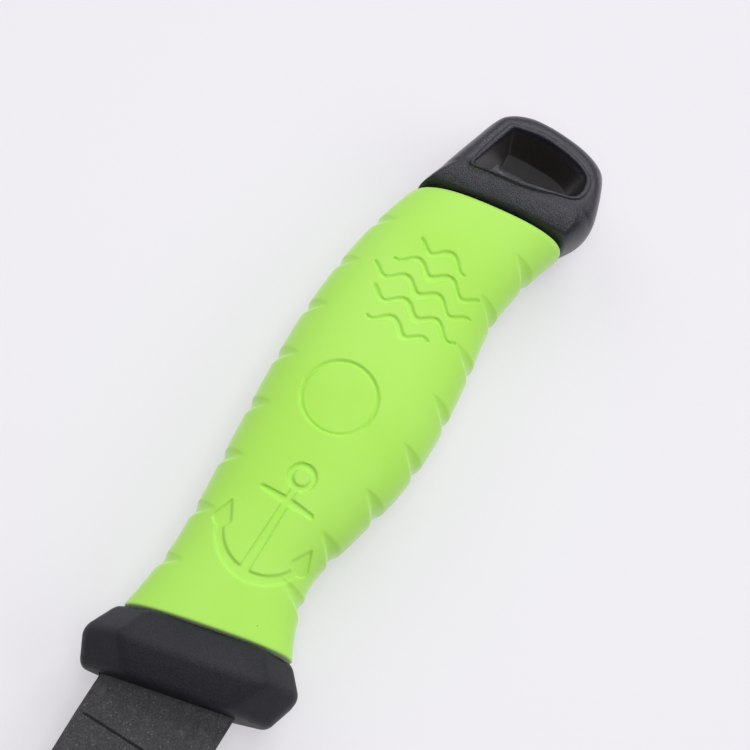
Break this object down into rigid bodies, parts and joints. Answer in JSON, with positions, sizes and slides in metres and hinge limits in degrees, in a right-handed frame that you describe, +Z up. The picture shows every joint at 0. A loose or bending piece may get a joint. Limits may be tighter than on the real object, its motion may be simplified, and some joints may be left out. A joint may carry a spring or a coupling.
{
  "type": "fishing knife",
  "caption": "Fixed-blade fillet fishing knife: coated flexible blade, ridged guard, soft scalloped grip over a hard core and a butt with a through lanyard eye.",
  "frame": {"origin": "middle of the underside of the knife's box as it lies on its side", "axes": "+X from the butt to the blade's tip, +Y from the back of the blade to its cutting edge, +Z up out of the side that the picture shows"},
  "size_m": [0.3148, 0.041, 0.024],
  "materials": {
    "coated_steel": "matt non-stick coating on steel, finely speckled",
    "hard_plastic": "black moulded plastic with a fine grain",
    "core_plastic": "plain moulded plastic, hidden under the grip",
    "soft_grip": "lime green soft-touch rubber, satin",
    "pin_steel": "plain steel rod"
  },
  "bodies": {
    "root": {"blade": "coated_steel", "guard": "hard_plastic", "handle_core": "core_plastic", "grip_sleeve": "soft_grip", "butt": "hard_plastic", "tang_pin_front": "pin_steel", "tang_pin_rear": "pin_steel", "butt_pin": "pin_steel"}
  },
  "joints": []
}
